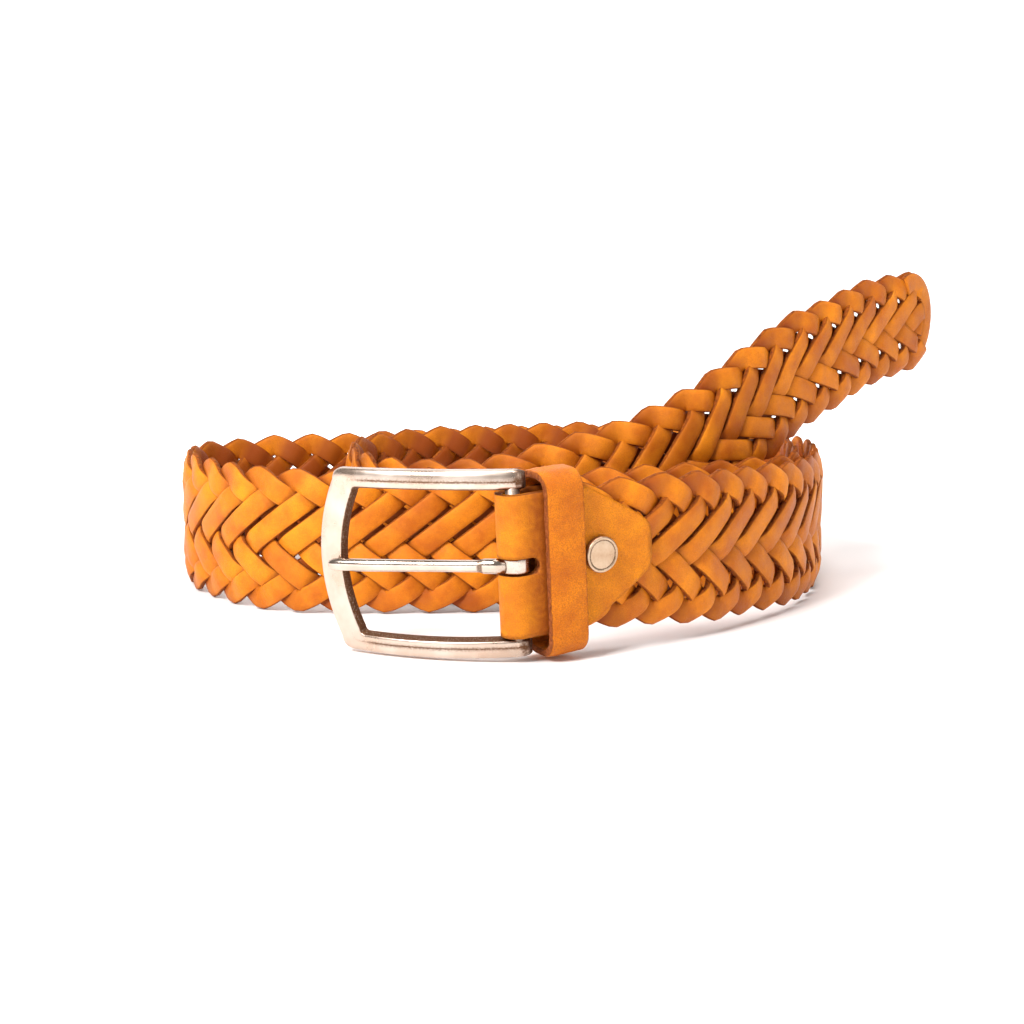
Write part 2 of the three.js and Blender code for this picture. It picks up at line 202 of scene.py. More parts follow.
def centripetal(points, perSpan=60):
    # centripetal Catmull-Rom curve through the points
    ends = np.vstack([2 * points[0] - points[1], points, 2 * points[-1] - points[-2]])
    spans = []
    for i in range(1, len(ends) - 2):
        a, b, c, d = ends[i - 1:i + 3]
        t1 = np.linalg.norm(b - a) ** 0.5
        t2 = t1 + np.linalg.norm(c - b) ** 0.5
        t3 = t2 + np.linalg.norm(d - c) ** 0.5
        t = np.linspace(t1, t2, perSpan, endpoint=False)[:, None]
        ab = (t1 - t) / t1 * a + t / t1 * b
        bc = (t2 - t) / (t2 - t1) * b + (t - t1) / (t2 - t1) * c
        cd = (t3 - t) / (t3 - t2) * c + (t - t2) / (t3 - t2) * d
        abc = (t2 - t) / t2 * ab + t / t2 * bc
        bcd = (t3 - t) / (t3 - t1) * bc + (t - t1) / (t3 - t1) * cd
        spans.append((t2 - t) / (t2 - t1) * abc + (t - t1) / (t2 - t1) * bcd)
    spans.append(points[-1:])
    return np.vstack(spans)


def layStrap():
    # middle line of the strap with its direction, its width direction and its outer face
    dip = math.radians(coil["dip"])
    end = coil["tabLength"] + coil["straightPastTab"]
    points = [barPoint + along * (math.cos(dip) * tabAlong - math.sin(dip) * rootUp)
              for along in (coil["braidStart"], (coil["braidStart"] + coil["tabLength"]) / 2, end)]
    for across, back, raised in strapWay:
        points.append(coilCorner + np.array([across * coil["width"], back * coil["depth"],
                                             (0.5 + raised) * coil["strapWidth"]]))
    line = centripetal(np.array(points))
    run = np.concatenate([[0], np.cumsum(np.linalg.norm(np.diff(line, axis=0), axis=1))])
    total = run[-1]
    places = np.arange(0, total, coil["lineStep"])
    line = np.stack([np.interp(places, run, line[:, k]) for k in range(3)], axis=1)
    along = np.gradient(line, axis=0)
    along /= np.linalg.norm(along, axis=1)[:, None]
    first, last = coil["leanEnds"]
    turned = np.clip((places - first) / (last - first), 0, 1)
    turned = (turned * turned * (3 - 2 * turned))[:, None]
    rise = rootUp * (1 - turned) + upward * turned
    rise = rise - along * np.sum(rise * along, axis=1)[:, None]
    rise /= np.linalg.norm(rise, axis=1)[:, None]
    out = np.cross(along, rise)
    return {"places": places, "line": line, "along": along, "rise": rise, "out": out, "total": total}


strap = layStrap()


def strapAt(key, places):
    return np.stack([np.interp(places, strap["places"], strap[key][:, k]) for k in range(3)], axis=1)


def strapWidthAt(places):
    root = coil["rootWidth"] + (coil["strapWidth"] - coil["rootWidth"]) * np.minimum(
        1, places / coil["tabLength"])
    taper = np.clip(places / strap["total"] - coil["taperStart"], 0, None) / (1 - coil["taperStart"])
    return root + (coil["tipWidth"] - coil["strapWidth"]) * taper


print("braided belt: strap laid, %.3f m long" % strap["total"])


def newGroup(name, inputs, outputs):
    group = bpy.data.node_groups.new(name, "ShaderNodeTree")
    for label, kind, value in inputs:
        socket = group.interface.new_socket(name=label, in_out="INPUT", socket_type=kind)
        if value is not None:
            socket.default_value = value
    for label, kind in outputs:
        group.interface.new_socket(name=label, in_out="OUTPUT", socket_type=kind)
    return group, group.nodes.new("NodeGroupInput"), group.nodes.new("NodeGroupOutput")


def addNode(tree, kind, **settings):
    node = tree.nodes.new(kind)
    for key, value in settings.items():
        setattr(node, key, value)
    return node


def feed(tree, socket, value):
    if isinstance(value, (int, float, tuple)):
        socket.default_value = value
    else:
        tree.links.new(value, socket)


def mathNode(tree, operation, a, b, clamp=False):
    node = tree.nodes.new("ShaderNodeMath")
    node.operation = operation
    node.use_clamp = clamp
    feed(tree, node.inputs[0], a)
    feed(tree, node.inputs[1], b)
    return node.outputs[0]


def mixColour(tree, share, a, b):
    node = tree.nodes.new("ShaderNodeMix")
    node.data_type = "RGBA"
    # the share is socket 0 and the two colours are 6 and 7, since their names aren't unique
    for index, value in ((0, share), (6, a), (7, b)):
        feed(tree, node.inputs[index], value)
    return node.outputs[2]


def spread(tree, value, low, high, toLow=0.0, toHigh=1.0):
    # stretches low to high over toLow to toHigh, and stops there
    node = tree.nodes.new("ShaderNodeMapRange")
    for label, limit in (("From Min", low), ("From Max", high), ("To Min", toLow), ("To Max", toHigh)):
        node.inputs[label].default_value = limit
    tree.links.new(value, node.inputs["Value"])
    return node.outputs["Result"]


def noiseNode(tree, vector, scale, detail, roughness):
    node = tree.nodes.new("ShaderNodeTexNoise")
    node.inputs["Detail"].default_value = detail
    node.inputs["Roughness"].default_value = roughness
    tree.links.new(scale, node.inputs["Scale"])
    tree.links.new(vector, node.inputs["Vector"])
    return node.outputs["Fac"]


grainBuild = {
    "poreRim": 0.22,
    "poreHeight": 0.35,
    "fineHeight": 0.5,
    "speckleFiner": 1.3,
}


def makeGrainGroup():
    # pores and fine creases of vegetable-tanned grain, with a slow mottle for colour
    group, given, result = newGroup(
        "tannedGrain",
        [("Vector", "NodeSocketVector", None), ("Pore Scale", "NodeSocketFloat", 1400.0),
         ("Crease Scale", "NodeSocketFloat", 420.0), ("Mottle Scale", "NodeSocketFloat", 90.0)],
        [("Height", "NodeSocketFloat"), ("Mottle", "NodeSocketFloat"), ("Pores", "NodeSocketFloat"),
         ("Speckle", "NodeSocketFloat")])
    pores = addNode(group, "ShaderNodeTexVoronoi", feature="DISTANCE_TO_EDGE")
    group.links.new(given.outputs["Vector"], pores.inputs["Vector"])
    group.links.new(given.outputs["Pore Scale"], pores.inputs["Scale"])
    pits = spread(group, pores.outputs["Distance"], 0.0, grainBuild["poreRim"])
    keeperShade = noiseNode(group, given.outputs["Vector"], given.outputs["Crease Scale"],
                       detail=5.0, roughness=0.6)
    mottle = noiseNode(group, given.outputs["Vector"], given.outputs["Mottle Scale"],
                       detail=4.0, roughness=0.6)
    fineScale = mathNode(group, "MULTIPLY", given.outputs["Pore Scale"], grainBuild["speckleFiner"])
    speckle = noiseNode(group, given.outputs["Vector"], fineScale, detail=2.0, roughness=0.7)
    fine = mathNode(group, "ADD", keeperShade, speckle)
    height = mathNode(group, "ADD", mathNode(group, "MULTIPLY", pits, grainBuild["poreHeight"]),
                      mathNode(group, "MULTIPLY", fine, grainBuild["fineHeight"]))
    group.links.new(speckle, result.inputs["Speckle"])
    group.links.new(height, result.inputs["Height"])
    group.links.new(mottle, result.inputs["Mottle"])
    group.links.new(pits, result.inputs["Pores"])
    return group


cutEdgeBuild = {
    "fibreMiddle": 0.5,
    "maskFrom": 0.55,
    "maskTo": 0.85,
}


def makeCutEdgeGroup():
    # fibrous raw edge: a mask that frays where the knife went, and its fibres' height
    group, given, result = newGroup(
        "rawCutEdge",
        [("Vector", "NodeSocketVector", None), ("Edge", "NodeSocketFloat", 0.0),
         ("Fray", "NodeSocketFloat", 0.35), ("Fibre Scale", "NodeSocketFloat", 900.0)],
        [("Mask", "NodeSocketFloat"), ("Fibres", "NodeSocketFloat")])
    fibres = noiseNode(group, given.outputs["Vector"], given.outputs["Fibre Scale"],
                       detail=6.0, roughness=0.7)
    frayed = mathNode(group, "MULTIPLY",
                      mathNode(group, "SUBTRACT", fibres, cutEdgeBuild["fibreMiddle"]),
                      given.outputs["Fray"])
    mask = spread(group, mathNode(group, "ADD", given.outputs["Edge"], frayed),
                  cutEdgeBuild["maskFrom"], cutEdgeBuild["maskTo"])
    group.links.new(mask, result.inputs["Mask"])
    group.links.new(fibres, result.inputs["Fibres"])
    return group


# plating darkening: patina in hollows and joints, and a painted reflection line along the buckle rails'
# crest
platingDarkBuild = {
    "speckleMiddle": 0.42,
    "speckleGain": 2.4,
    "from": 0.45,
    "to": 1.1,
}


def makePlatingDarkGroup():
    # darkened plating: dark speckle where the darkness input is high and a slow cloud over the rest; the
    # darkness is patina in hollows and joints, and on the buckle rails a painted reflection line
    group, given, result = newGroup(
        "platingPatinaAndReflection",
        [("Vector", "NodeSocketVector", None), ("Low", "NodeSocketFloat", 0.0),
         ("Speckle Scale", "NodeSocketFloat", 1500.0), ("Cloud Scale", "NodeSocketFloat", 120.0)],
        [("Darkening", "NodeSocketFloat"), ("Cloud", "NodeSocketFloat"), ("Speckle", "NodeSocketFloat")])
    speckle = noiseNode(group, given.outputs["Vector"], given.outputs["Speckle Scale"],
                        detail=4.0, roughness=0.75)
    cloud = noiseNode(group, given.outputs["Vector"], given.outputs["Cloud Scale"],
                      detail=3.0, roughness=0.6)
    speckled = mathNode(group, "MULTIPLY",
                        mathNode(group, "SUBTRACT", speckle, platingDarkBuild["speckleMiddle"]),
                        platingDarkBuild["speckleGain"])
    low = mathNode(group, "ADD", given.outputs["Low"], speckled)
    darkening = mathNode(group, "MULTIPLY", spread(group, low, platingDarkBuild["from"], platingDarkBuild["to"]),
                       given.outputs["Low"], True)
    group.links.new(darkening, result.inputs["Darkening"])
    group.links.new(cloud, result.inputs["Cloud"])
    group.links.new(speckle, result.inputs["Speckle"])
    return group


grainGroup = makeGrainGroup()
cutEdgeGroup = makeCutEdgeGroup()
platingDarkGroup = makePlatingDarkGroup()


def placeGroup(tree, group, **values):
    node = tree.nodes.new("ShaderNodeGroup")
    node.node_tree = group
    for key, value in values.items():
        feed(tree, node.inputs[key.replace("_", " ")], value)
    return node


def newMaterial(name):
    material = bpy.data.materials.new(name)
    material.use_nodes = True
    tree = material.node_tree
    shader = tree.nodes["Principled BSDF"]
    where = tree.nodes.new("ShaderNodeTexCoord").outputs["Object"]
    return material, tree, shader, where


leatherBuild = {
    "mottleSpan": (0.32, 0.68),
    "freckleSpan": (0.40, 0.68),
    "poreSpan": (0.0, 0.5),
    "fibreSpan": (0.35, 0.7),
    "roughSpan": (0.3, 0.7),
    "cutRough": 0.9,
    "fibreHeight": 2.5,
}


def leatherRough(tree, cutMask, mottle, settings):
    face = spread(tree, mottle, *leatherBuild["roughSpan"], settings["roughLow"], settings["roughHigh"])
    edge = mathNode(tree, "MULTIPLY", cutMask, leatherBuild["cutRough"] - settings["roughHigh"])
    return mathNode(tree, "ADD", face, edge, True)


def makeLeather(name, settings):
    material, tree, shader, where = newMaterial(name)
    edge = addNode(tree, "ShaderNodeAttribute", attribute_name="cutEdge").outputs["Fac"]
    tone = addNode(tree, "ShaderNodeAttribute", attribute_name="tone").outputs["Fac"]
    grain = placeGroup(tree, grainGroup, Vector=where, Pore_Scale=settings["poreScale"],
                       Crease_Scale=settings["creaseScale"], Mottle_Scale=settings["mottleScale"])
    cut = placeGroup(tree, cutEdgeGroup, Vector=where, Edge=edge, Fray=settings["fray"])
    light = mixColour(tree, spread(tree, grain.outputs["Mottle"], *leatherBuild["mottleSpan"]),
                      settings["deep"], settings["bright"])
    # painted shade: the tone attribute mixes the leather towards the tan-and-shade colour, for random
    # tone and for shade where strips dive under others and where the tab goes under the keeper
    toned = mixColour(tree, tone, light, settings["tanAndShade"])
    freckles = spread(tree, grain.outputs["Speckle"], *leatherBuild["freckleSpan"],
                      0.0, settings["freckle"])
    freckled = mixColour(tree, freckles, toned, settings["pore"])
    pores = spread(tree, grain.outputs["Pores"], *leatherBuild["poreSpan"], settings["poreDark"], 0.0)
    pored = mixColour(tree, pores, freckled, settings["pore"])
    fibre = mixColour(tree, spread(tree, cut.outputs["Fibres"], *leatherBuild["fibreSpan"]),
                      settings["edgeDark"], settings["edgeLight"])
    edged = mixColour(tree, cut.outputs["Mask"], pored, fibre)
    tree.links.new(edged, shader.inputs["Base Color"])
    rough = leatherRough(tree, cut.outputs["Mask"], grain.outputs["Mottle"], settings)
    tree.links.new(rough, shader.inputs["Roughness"])
    shader.inputs["Specular IOR Level"].default_value = settings["sheen"]
    fuzz = mathNode(tree, "MULTIPLY", cut.outputs["Mask"], cut.outputs["Fibres"])
    height = mathNode(tree, "ADD", grain.outputs["Height"],
                      mathNode(tree, "MULTIPLY", fuzz, leatherBuild["fibreHeight"]))
    bump = tree.nodes.new("ShaderNodeBump")
    bump.inputs["Strength"].default_value = settings["bump"]
    bump.inputs["Distance"].default_value = settings["bumpDepth"]
    tree.links.new(height, bump.inputs["Height"])
    tree.links.new(bump.outputs["Normal"], shader.inputs["Normal"])
    return material


stripLeather = makeLeather("braidStripLeather", {
    "deep": (0.54, 0.128, 0.0030, 1), "bright": (0.86, 0.275, 0.0060, 1),
    "tanAndShade": (0.26, 0.045, 0.0015, 1), "pore": (0.30, 0.07, 0.006, 1),
    "edgeDark": (0.085, 0.014, 0.001, 1), "edgeLight": (0.40, 0.095, 0.004, 1),
    "poreScale": 2600.0, "creaseScale": 700.0, "mottleScale": 110.0,
    "poreDark": 0.30, "freckle": 0.30, "fray": 0.5,
    "sheen": 0.19, "roughLow": 0.34, "roughHigh": 0.52, "bump": 0.8, "bumpDepth": 0.00018,
})
tabLeather = makeLeather("foldedTabLeather", {
    "deep": (0.66, 0.185, 0.0040, 1), "bright": (0.90, 0.305, 0.0070, 1),
    "tanAndShade": (0.26, 0.055, 0.0020, 1), "pore": (0.36, 0.09, 0.008, 1),
    "edgeDark": (0.16, 0.035, 0.006, 1), "edgeLight": (0.42, 0.12, 0.025, 1),
    "poreScale": 2200.0, "creaseScale": 600.0, "mottleScale": 150.0,
    "poreDark": 0.40, "freckle": 0.50, "fray": 0.7,
    "sheen": 0.16, "roughLow": 0.42, "roughHigh": 0.60, "bump": 0.9, "bumpDepth": 0.00022,
})
keeperLeather = makeLeather("keeperLeather", {
    "deep": (0.56, 0.135, 0.0030, 1), "bright": (0.82, 0.245, 0.0050, 1),
    "tanAndShade": (0.44, 0.10, 0.0025, 1), "pore": (0.34, 0.08, 0.007, 1),
    "edgeDark": (0.14, 0.030, 0.006, 1), "edgeLight": (0.40, 0.11, 0.025, 1),
    "poreScale": 2000.0, "creaseScale": 520.0, "mottleScale": 140.0,
    "poreDark": 0.45, "freckle": 0.70, "fray": 0.8,
    "sheen": 0.16, "roughLow": 0.40, "roughHigh": 0.58, "bump": 1.0, "bumpDepth": 0.00025,
})

platingBuild = {
    "cloudSpan": (0.35, 0.65),
    "roughSpan": (0.3, 0.7),
    "darkRough": 0.3,
    "bumpDepth": 0.00005,
}


def makePlating(name, settings):
    material, tree, shader, where = newMaterial(name)
    low = addNode(tree, "ShaderNodeAttribute", attribute_name="platingDark").outputs["Fac"]
    platingMarks = placeGroup(tree, platingDarkGroup, Vector=where, Low=low, Speckle_Scale=settings["speckleScale"],
                      Cloud_Scale=settings["cloudScale"])
    clean = mixColour(tree, spread(tree, platingMarks.outputs["Cloud"], *platingBuild["cloudSpan"]),
                      settings["warm"], settings["pale"])
    # the darkening is patina in hollows and joints, and a painted reflection line along the buckle rails'
    # crest
    darkened = mixColour(tree, platingMarks.outputs["Darkening"], clean, settings["dark"])
    tree.links.new(darkened, shader.inputs["Base Color"])
    shader.inputs["Metallic"].default_value = 1.0
    polish = spread(tree, platingMarks.outputs["Cloud"], *platingBuild["roughSpan"],
                    settings["roughLow"], settings["roughHigh"])
    dulled = mathNode(tree, "MULTIPLY", platingMarks.outputs["Darkening"], platingBuild["darkRough"])
    tree.links.new(mathNode(tree, "ADD", polish, dulled, True), shader.inputs["Roughness"])
    bump = tree.nodes.new("ShaderNodeBump")
    bump.inputs["Strength"].default_value = settings["bump"]
    bump.inputs["Distance"].default_value = platingBuild["bumpDepth"]
    tree.links.new(platingMarks.outputs["Speckle"], bump.inputs["Height"])
    tree.links.new(bump.outputs["Normal"], shader.inputs["Normal"])
    return material


framePlating = makePlating("antiqueNickelFrame", {
    "warm": (0.56, 0.42, 0.33, 1), "pale": (0.68, 0.57, 0.49, 1), "dark": (0.13, 0.060, 0.030, 1),
    "speckleScale": 2400.0, "cloudScale": 90.0, "roughLow": 0.24, "roughHigh": 0.36, "bump": 0.3,
})
prongPlating = makePlating("antiqueNickelProng", {
    "warm": (0.54, 0.43, 0.35, 1), "pale": (0.68, 0.58, 0.50, 1), "dark": (0.13, 0.075, 0.045, 1),
    "speckleScale": 2600.0, "cloudScale": 120.0, "roughLow": 0.14, "roughHigh": 0.24, "bump": 0.15,
})
studPlating = makePlating("antiqueNickelStud", {
    "warm": (0.46, 0.31, 0.20, 1), "pale": (0.60, 0.45, 0.32, 1), "dark": (0.10, 0.055, 0.03, 1),
    "speckleScale": 2200.0, "cloudScale": 200.0, "roughLow": 0.26, "roughHigh": 0.40, "bump": 0.3,
})
print("braided belt: materials ready")

braid = {
    "strips": 8,
    "pitch": 0.013,
    "stripWidth": 0.0070,
    "stripThickness": 0.0020,
    "corner": 0.0008,
    "crown": 0.00028,
    "weave": 0.00142,
    "turnLength": 0.0092,
    "edgeTwist": 9,
    "tone": 0.12,
    # painted shade where strips dive under the others: how dark, and from what depth
    "underShade": 0.95,
    "underShadeFrom": 0.35,
    "step": 0.0012,
    "sectionSteps": 2,
    "endGap": 0.0045,
    "tipLeast": 0.02,
    # spacing along the strip and size of each slow unevenness
    "levelWander": (0.017, 0.0003),
    "heightWander": (0.011, 0.00008),
    "twistWander": (0.014, math.radians(3.0)),
    "toneWander": (0.05, 0.3),
    "seed": 7,
}

# height of a strip at each crossing on its way down from the upper edge and up again
crossingHeights = [0, 1, -1, -1, -1, 1, 1, -1, 0, 1, -1, -1, 1, 1, 1, -1]


def smoothNoise(random, places, spacing, size):
    knots = np.arange(places[0] - spacing, places[-1] + 2 * spacing, spacing)
    return np.interp(places, knots, random.uniform(-size, size, len(knots)))


def bell(distance, length):
    # rises to 1 at one length from the edge and dies away again, turned over on the other side
    part = distance / length
    return part * np.exp(0.5 - 0.5 * part ** 2)


def sweepStrip(name, line, out, twist, tone):
    # leather strip along a line, its face turned out from the strap and twisted about its own way
    along = np.gradient(line, axis=0)
    along /= np.linalg.norm(along, axis=1)[:, None]
    face = out - along * np.sum(out * along, axis=1)[:, None]
    face /= np.linalg.norm(face, axis=1)[:, None]
    across = np.cross(face, along)
    cos, sin = np.cos(twist)[:, None], np.sin(twist)[:, None]
    acrossTurned = across * cos - face * sin
    faceTurned = face * cos + across * sin
    section, edges = roundedSection(braid["stripWidth"], braid["stripThickness"], braid["corner"],
                                    braid["sectionSteps"], braid["crown"])
    points = (line[:, None, :] + acrossTurned[:, None, :] * section[None, :, 0:1]
              + faceTurned[:, None, :] * section[None, :, 1:2]).reshape(-1, 3)
    piece = newPiece(name, points, ringFaces(len(line), len(section)), "belt",
                     stripLeather, {"cutEdge": np.tile(edges, len(line)),
                                    "tone": np.repeat(tone, len(section))})
    faceOutward(piece)
    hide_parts("braided_strap")


def layStrip(index):
    random = np.random.default_rng(braid["seed"] + index)
    period = braid["strips"] * braid["pitch"]
    places = np.arange(0, strap["total"] - braid["endGap"], braid["step"])
    cycle = (places / period + index / braid["strips"]) % 1.0
    share = 1 - np.abs(1 - 2 * cycle)  # 0 at the upper edge, 1 at the lower edge
    # the strip turns round softly at both edges and reaches out more to make up for that
    softness = braid["turnLength"] / (period / 2)
    nearTop = np.clip(softness - share, 0, None) ** 2 / (2 * softness)
    nearFoot = np.clip(softness - (1 - share), 0, None) ** 2 / (2 * softness)
    level = 1 - 2 * (share + nearTop / 2 - nearFoot / 2)
    reach = (strapWidthAt(places) - braid["stripWidth"]) / 2 * (1 + softness / 2)
    end = np.clip((strap["total"] - places) / coil["tipRounding"], 0, 1)
    reach *= np.sqrt(np.clip(1 - (1 - end) ** 2, braid["tipLeast"], 1))
    knots = np.array(crossingHeights + [crossingHeights[0]], dtype=float)
    crossing = cycle * len(crossingHeights)
    low = np.floor(crossing).astype(int)
    part = crossing - low
    part = part * part * (3 - 2 * part)
    height = (knots[low] * (1 - part) + knots[low + 1] * part) * braid["weave"]
    level = level * reach + smoothNoise(random, places, *braid["levelWander"])
    height = height + smoothNoise(random, places, *braid["heightWander"])

    rise = strapAt("rise", places)
    out = strapAt("out", places)
    line = strapAt("line", places) + rise * level[:, None] + out * height[:, None]
    fromTop = np.where(cycle > 0.5, cycle - 1, cycle) * period
    fromFoot = (cycle - 0.5) * period
    length = braid["turnLength"]
    twist = math.radians(braid["edgeTwist"]) * (bell(fromTop, length) - bell(fromFoot, length))
    twist = twist + smoothNoise(random, places, *braid["twistWander"])
    # painted shade: the strips are coloured darker where they dive under the others
    under = np.clip(braid["underShadeFrom"] - height / braid["weave"], 0, 1) * braid["underShade"]
    tone = np.clip(braid["tone"] + smoothNoise(random, places, *braid["toneWander"]) + under, 0, 1)
    sweepStrip("braid_strip_%d" % (index + 1), line, out, twist, tone)


endFold = {
    "turnFrom": 112,
    "turnTo": -72,
    "steps": 44,
    "back": 0.0125,
    "reach": 0.0105,
    "halfHeight": 0.0132,
    "frontAtStart": 1.25,
    "frontAtEnd": -0.5,
    "tone": 0.15,
}


def layEndFold():
    # the last strip goes over the tip from the upper edge and tucks in below the middle
    turn = np.radians(np.linspace(endFold["turnFrom"], endFold["turnTo"], endFold["steps"]))
    places = strap["total"] - endFold["back"] + endFold["reach"] * np.cos(turn)
    rise = strapAt("rise", places)
    out = strapAt("out", places)
    level = endFold["halfHeight"] * np.sin(turn)
    height = braid["weave"] * np.linspace(endFold["frontAtStart"], endFold["frontAtEnd"], len(turn))
    line = strapAt("line", places) + rise * level[:, None] + out * height[:, None]
    sweepStrip("braid_end_fold", line, out, np.zeros(len(turn)), np.full(len(turn), endFold["tone"]))


for stripIndex in range(braid["strips"]):
    layStrip(stripIndex)
layEndFold()
print("braided belt: strips braided")

tab = {
    "leather": 0.0021,
    "fit": 0.00035,
    "strap": 0.0046,
    "width": 0.0372,
    "length": coil["tabLength"],
    "shoulder": 0.018,
    "slotLength": 0.0050,
    "slotHalf": 0.0027,
    "slotSteps": 12,
    "studPlace": 0.0228,
    "studHole": 0.0019,
    "holeSides": 20,
    # share of the way from the shoulder to the end, and share of the half width
    "tail": [(0, 1), (0.12, 0.95), (0.25, 0.86), (0.55, 0.655), (0.80, 0.475), (0.93, 0.36),
             (0.98, 0.28), (1, 0.16)],
    "cell": 0.0010,
    "cellShift": 0.013,
    "round": 0.00045,
    "roundIn": 0.00004,
    "rimLevels": (0.55, -0.55),
    "faceEdge": 0.35,
    "tone": 0.08,
    "toneWander": 0.1,
    "keeperEdge": 0.0062,
    # painted shade on the tab by the keeper: its width, end, depth and random spread
    "keeperShadeWidth": 0.0080,
    "keeperShadeEnd": 0.012,
    "keeperShadeTone": 0.7,
    "keeperShadeWander": 0.6,
    "seed": 21,
}
layerInside = tab["strap"] / 2 + tab["fit"]
layerMiddle = layerInside + tab["leather"] / 2


def flatTab():
    # the tab cut flat: one half of it from the fold to the tail, mirrored for the layer behind
    left = tab["length"] - tab["shoulder"]
    half = tab["width"] / 2
    quarter = math.pi / 2 * layerMiddle
    upper = [(quarter + tab["shoulder"] + along * left, share * half) for along, share in tab["tail"]]
    outline = upper + [(x, -y) for x, y in reversed(upper)]
    outline += [(-x, y) for x, y in reversed(outline)]
    slotEnd = quarter + tab["slotLength"] - tab["slotHalf"]
    slot = []
    for side in (1, -1):
        for i in range(tab["slotSteps"] + 1):
            angle = math.pi / 2 - math.pi * i / tab["slotSteps"]
            slot.append((side * (slotEnd + tab["slotHalf"] * math.cos(angle)),
                         side * tab["slotHalf"] * math.sin(angle)))
    holes = [slot]
    for side in (1, -1):
        centre = side * (quarter + tab["studPlace"])
        turns = [2 * math.pi * i / tab["holeSides"] for i in range(tab["holeSides"])]
        holes.append([(centre + tab["studHole"] * math.cos(angle), tab["studHole"] * math.sin(angle))
                      for angle in turns])
    return outline, holes


def filledSheet(outline, holes, cell):
    # a flat sheet cut into small cells, so that it can be bent
    onCut = 1e-7  # a point as near as this lies on the cut
    shape = bmesh.new()
    edges = []
    for loop in [outline] + holes:
        points = [shape.verts.new((x, y, 0)) for x, y in loop]
        for a, b in zip(points, points[1:] + points[:1]):
            edges.append(shape.edges.new((a, b)))
    bmesh.ops.triangle_fill(shape, use_beauty=True, edges=edges)
    for axis in (0, 1):
        low = min(v.co[axis] for v in shape.verts)
        high = max(v.co[axis] for v in shape.verts)
        normal = (1, 0, 0) if axis == 0 else (0, 1, 0)
        for i in range(1, int((high - low) / cell)):
            place = [0, 0, 0]
            place[axis] = low + i * cell + cell * tab["cellShift"]
            bmesh.ops.bisect_plane(shape, geom=shape.verts[:] + shape.edges[:] + shape.faces[:],
                                   dist=onCut, plane_co=place, plane_no=normal)
    return shape


def bentPlace(x, depth):
    # plan position of a flat point on the folded strip, at a depth out from its middle
    quarter = math.pi / 2 * layerMiddle
    radius = layerMiddle + depth
    if abs(x) <= quarter:
        angle = x / layerMiddle
        return -radius * math.cos(angle), -radius * math.sin(angle)
    return abs(x) - quarter, -math.copysign(radius, x)


def sheetRim(shape, flat):
    # the rim point that follows each one, and the way in from the cut edge there
    rim = {}
    for edge in shape.edges:
        if len(edge.link_faces) == 1:
            a, b = edge.verts[0].index, edge.verts[1].index
            order = [v.index for v in edge.link_faces[0].verts]
            if order[(order.index(a) + 1) % len(order)] != b:
                a, b = b, a
            rim[a] = b
    inward = {}
    before = {b: a for a, b in rim.items()}
    for a, b in rim.items():
        p, q, r = (np.array(flat[i]) for i in (before[a], a, b))
        way = unit(q - p) + unit(r - q)
        inward[a] = unit(np.array([-way[1], way[0]]))
    return rim, inward


def makeTab():
    outline, holes = flatTab()
    shape = filledSheet(outline, holes, tab["cell"])
    random = np.random.default_rng(tab["seed"])
    flat = [(v.co.x, v.co.y) for v in shape.verts]
    faces = [tuple(v.index for v in f.verts) for f in shape.faces]
    rim, inward = sheetRim(shape, flat)
    shape.free()
    half = tab["leather"] / 2
    points = []
    cutEdge = []

    def place(x, y, depth):
        u, v = bentPlace(x, depth)
        return barPoint + tabAlong * u + tabBack * v + rootUp * y

    count = len(flat)
    for side in (1, -1):
        for index, (x, y) in enumerate(flat):
            if index in inward:
                x, y = np.array((x, y)) + inward[index] * tab["round"]
            points.append(place(x, y, side * half))
            cutEdge.append(tab["faceEdge"] if index in inward else 0.0)
    faces += [tuple(count + i for i in reversed(f)) for f in faces]
    ringStart = {}
    for index in rim:
        ringStart[index] = len(points)
        x, y = np.array(flat[index]) + inward[index] * tab["roundIn"]
        for level in tab["rimLevels"]:
            points.append(place(x, y, level * half))
            cutEdge.append(1.0)
    for a, b in rim.items():
        strip = [(a, b)] + [(ringStart[a] + i, ringStart[b] + i) for i in range(len(tab["rimLevels"]))]
        strip.append((count + a, count + b))
        for (a1, b1), (a2, b2) in zip(strip, strip[1:]):
            faces.append((b1, a1, a2, b2))
    # painted shade: the leather is coloured darker where it goes under the keeper
    runs = np.array([max(0.0, float(np.dot(np.array(p) - barPoint, tabAlong))) for p in points])
    near = np.clip(1 - (tab["keeperEdge"] - runs) / tab["keeperShadeWidth"], 0, 1) * (runs < tab["keeperShadeEnd"])
    plain = tab["tone"] + tab["toneWander"] * random.random(len(points))
    keeperShade = near * (tab["keeperShadeTone"] + tab["keeperShadeWander"] * random.random(len(points)))
    piece = newPiece("buckle_tab_leather", points, faces, "belt", tabLeather,
                     {"cutEdge": cutEdge, "tone": np.clip(plain + keeperShade, 0, 1)})
    faceOutward(piece)
    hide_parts("buckle_tab")


makeTab()
print("braided belt: tab folded")

keeper = {
    "length": 0.0114,
    "start": 0.0060,
    "leather": 0.0022,
    "height": 0.0498,
    "corner": 0.0055,
    "cornerSteps": 9,
    "lift": -0.0010,
    "edgeRound": 0.0006,
    "edgeSteps": 3,
    "crown": 0.00015,
    "stations": 150,
    "wobble": 0.00003,
    "edgeWobble": 2,
    "tone": 0.1,
    "toneWander": 0.1,
    "seed": 5,
}


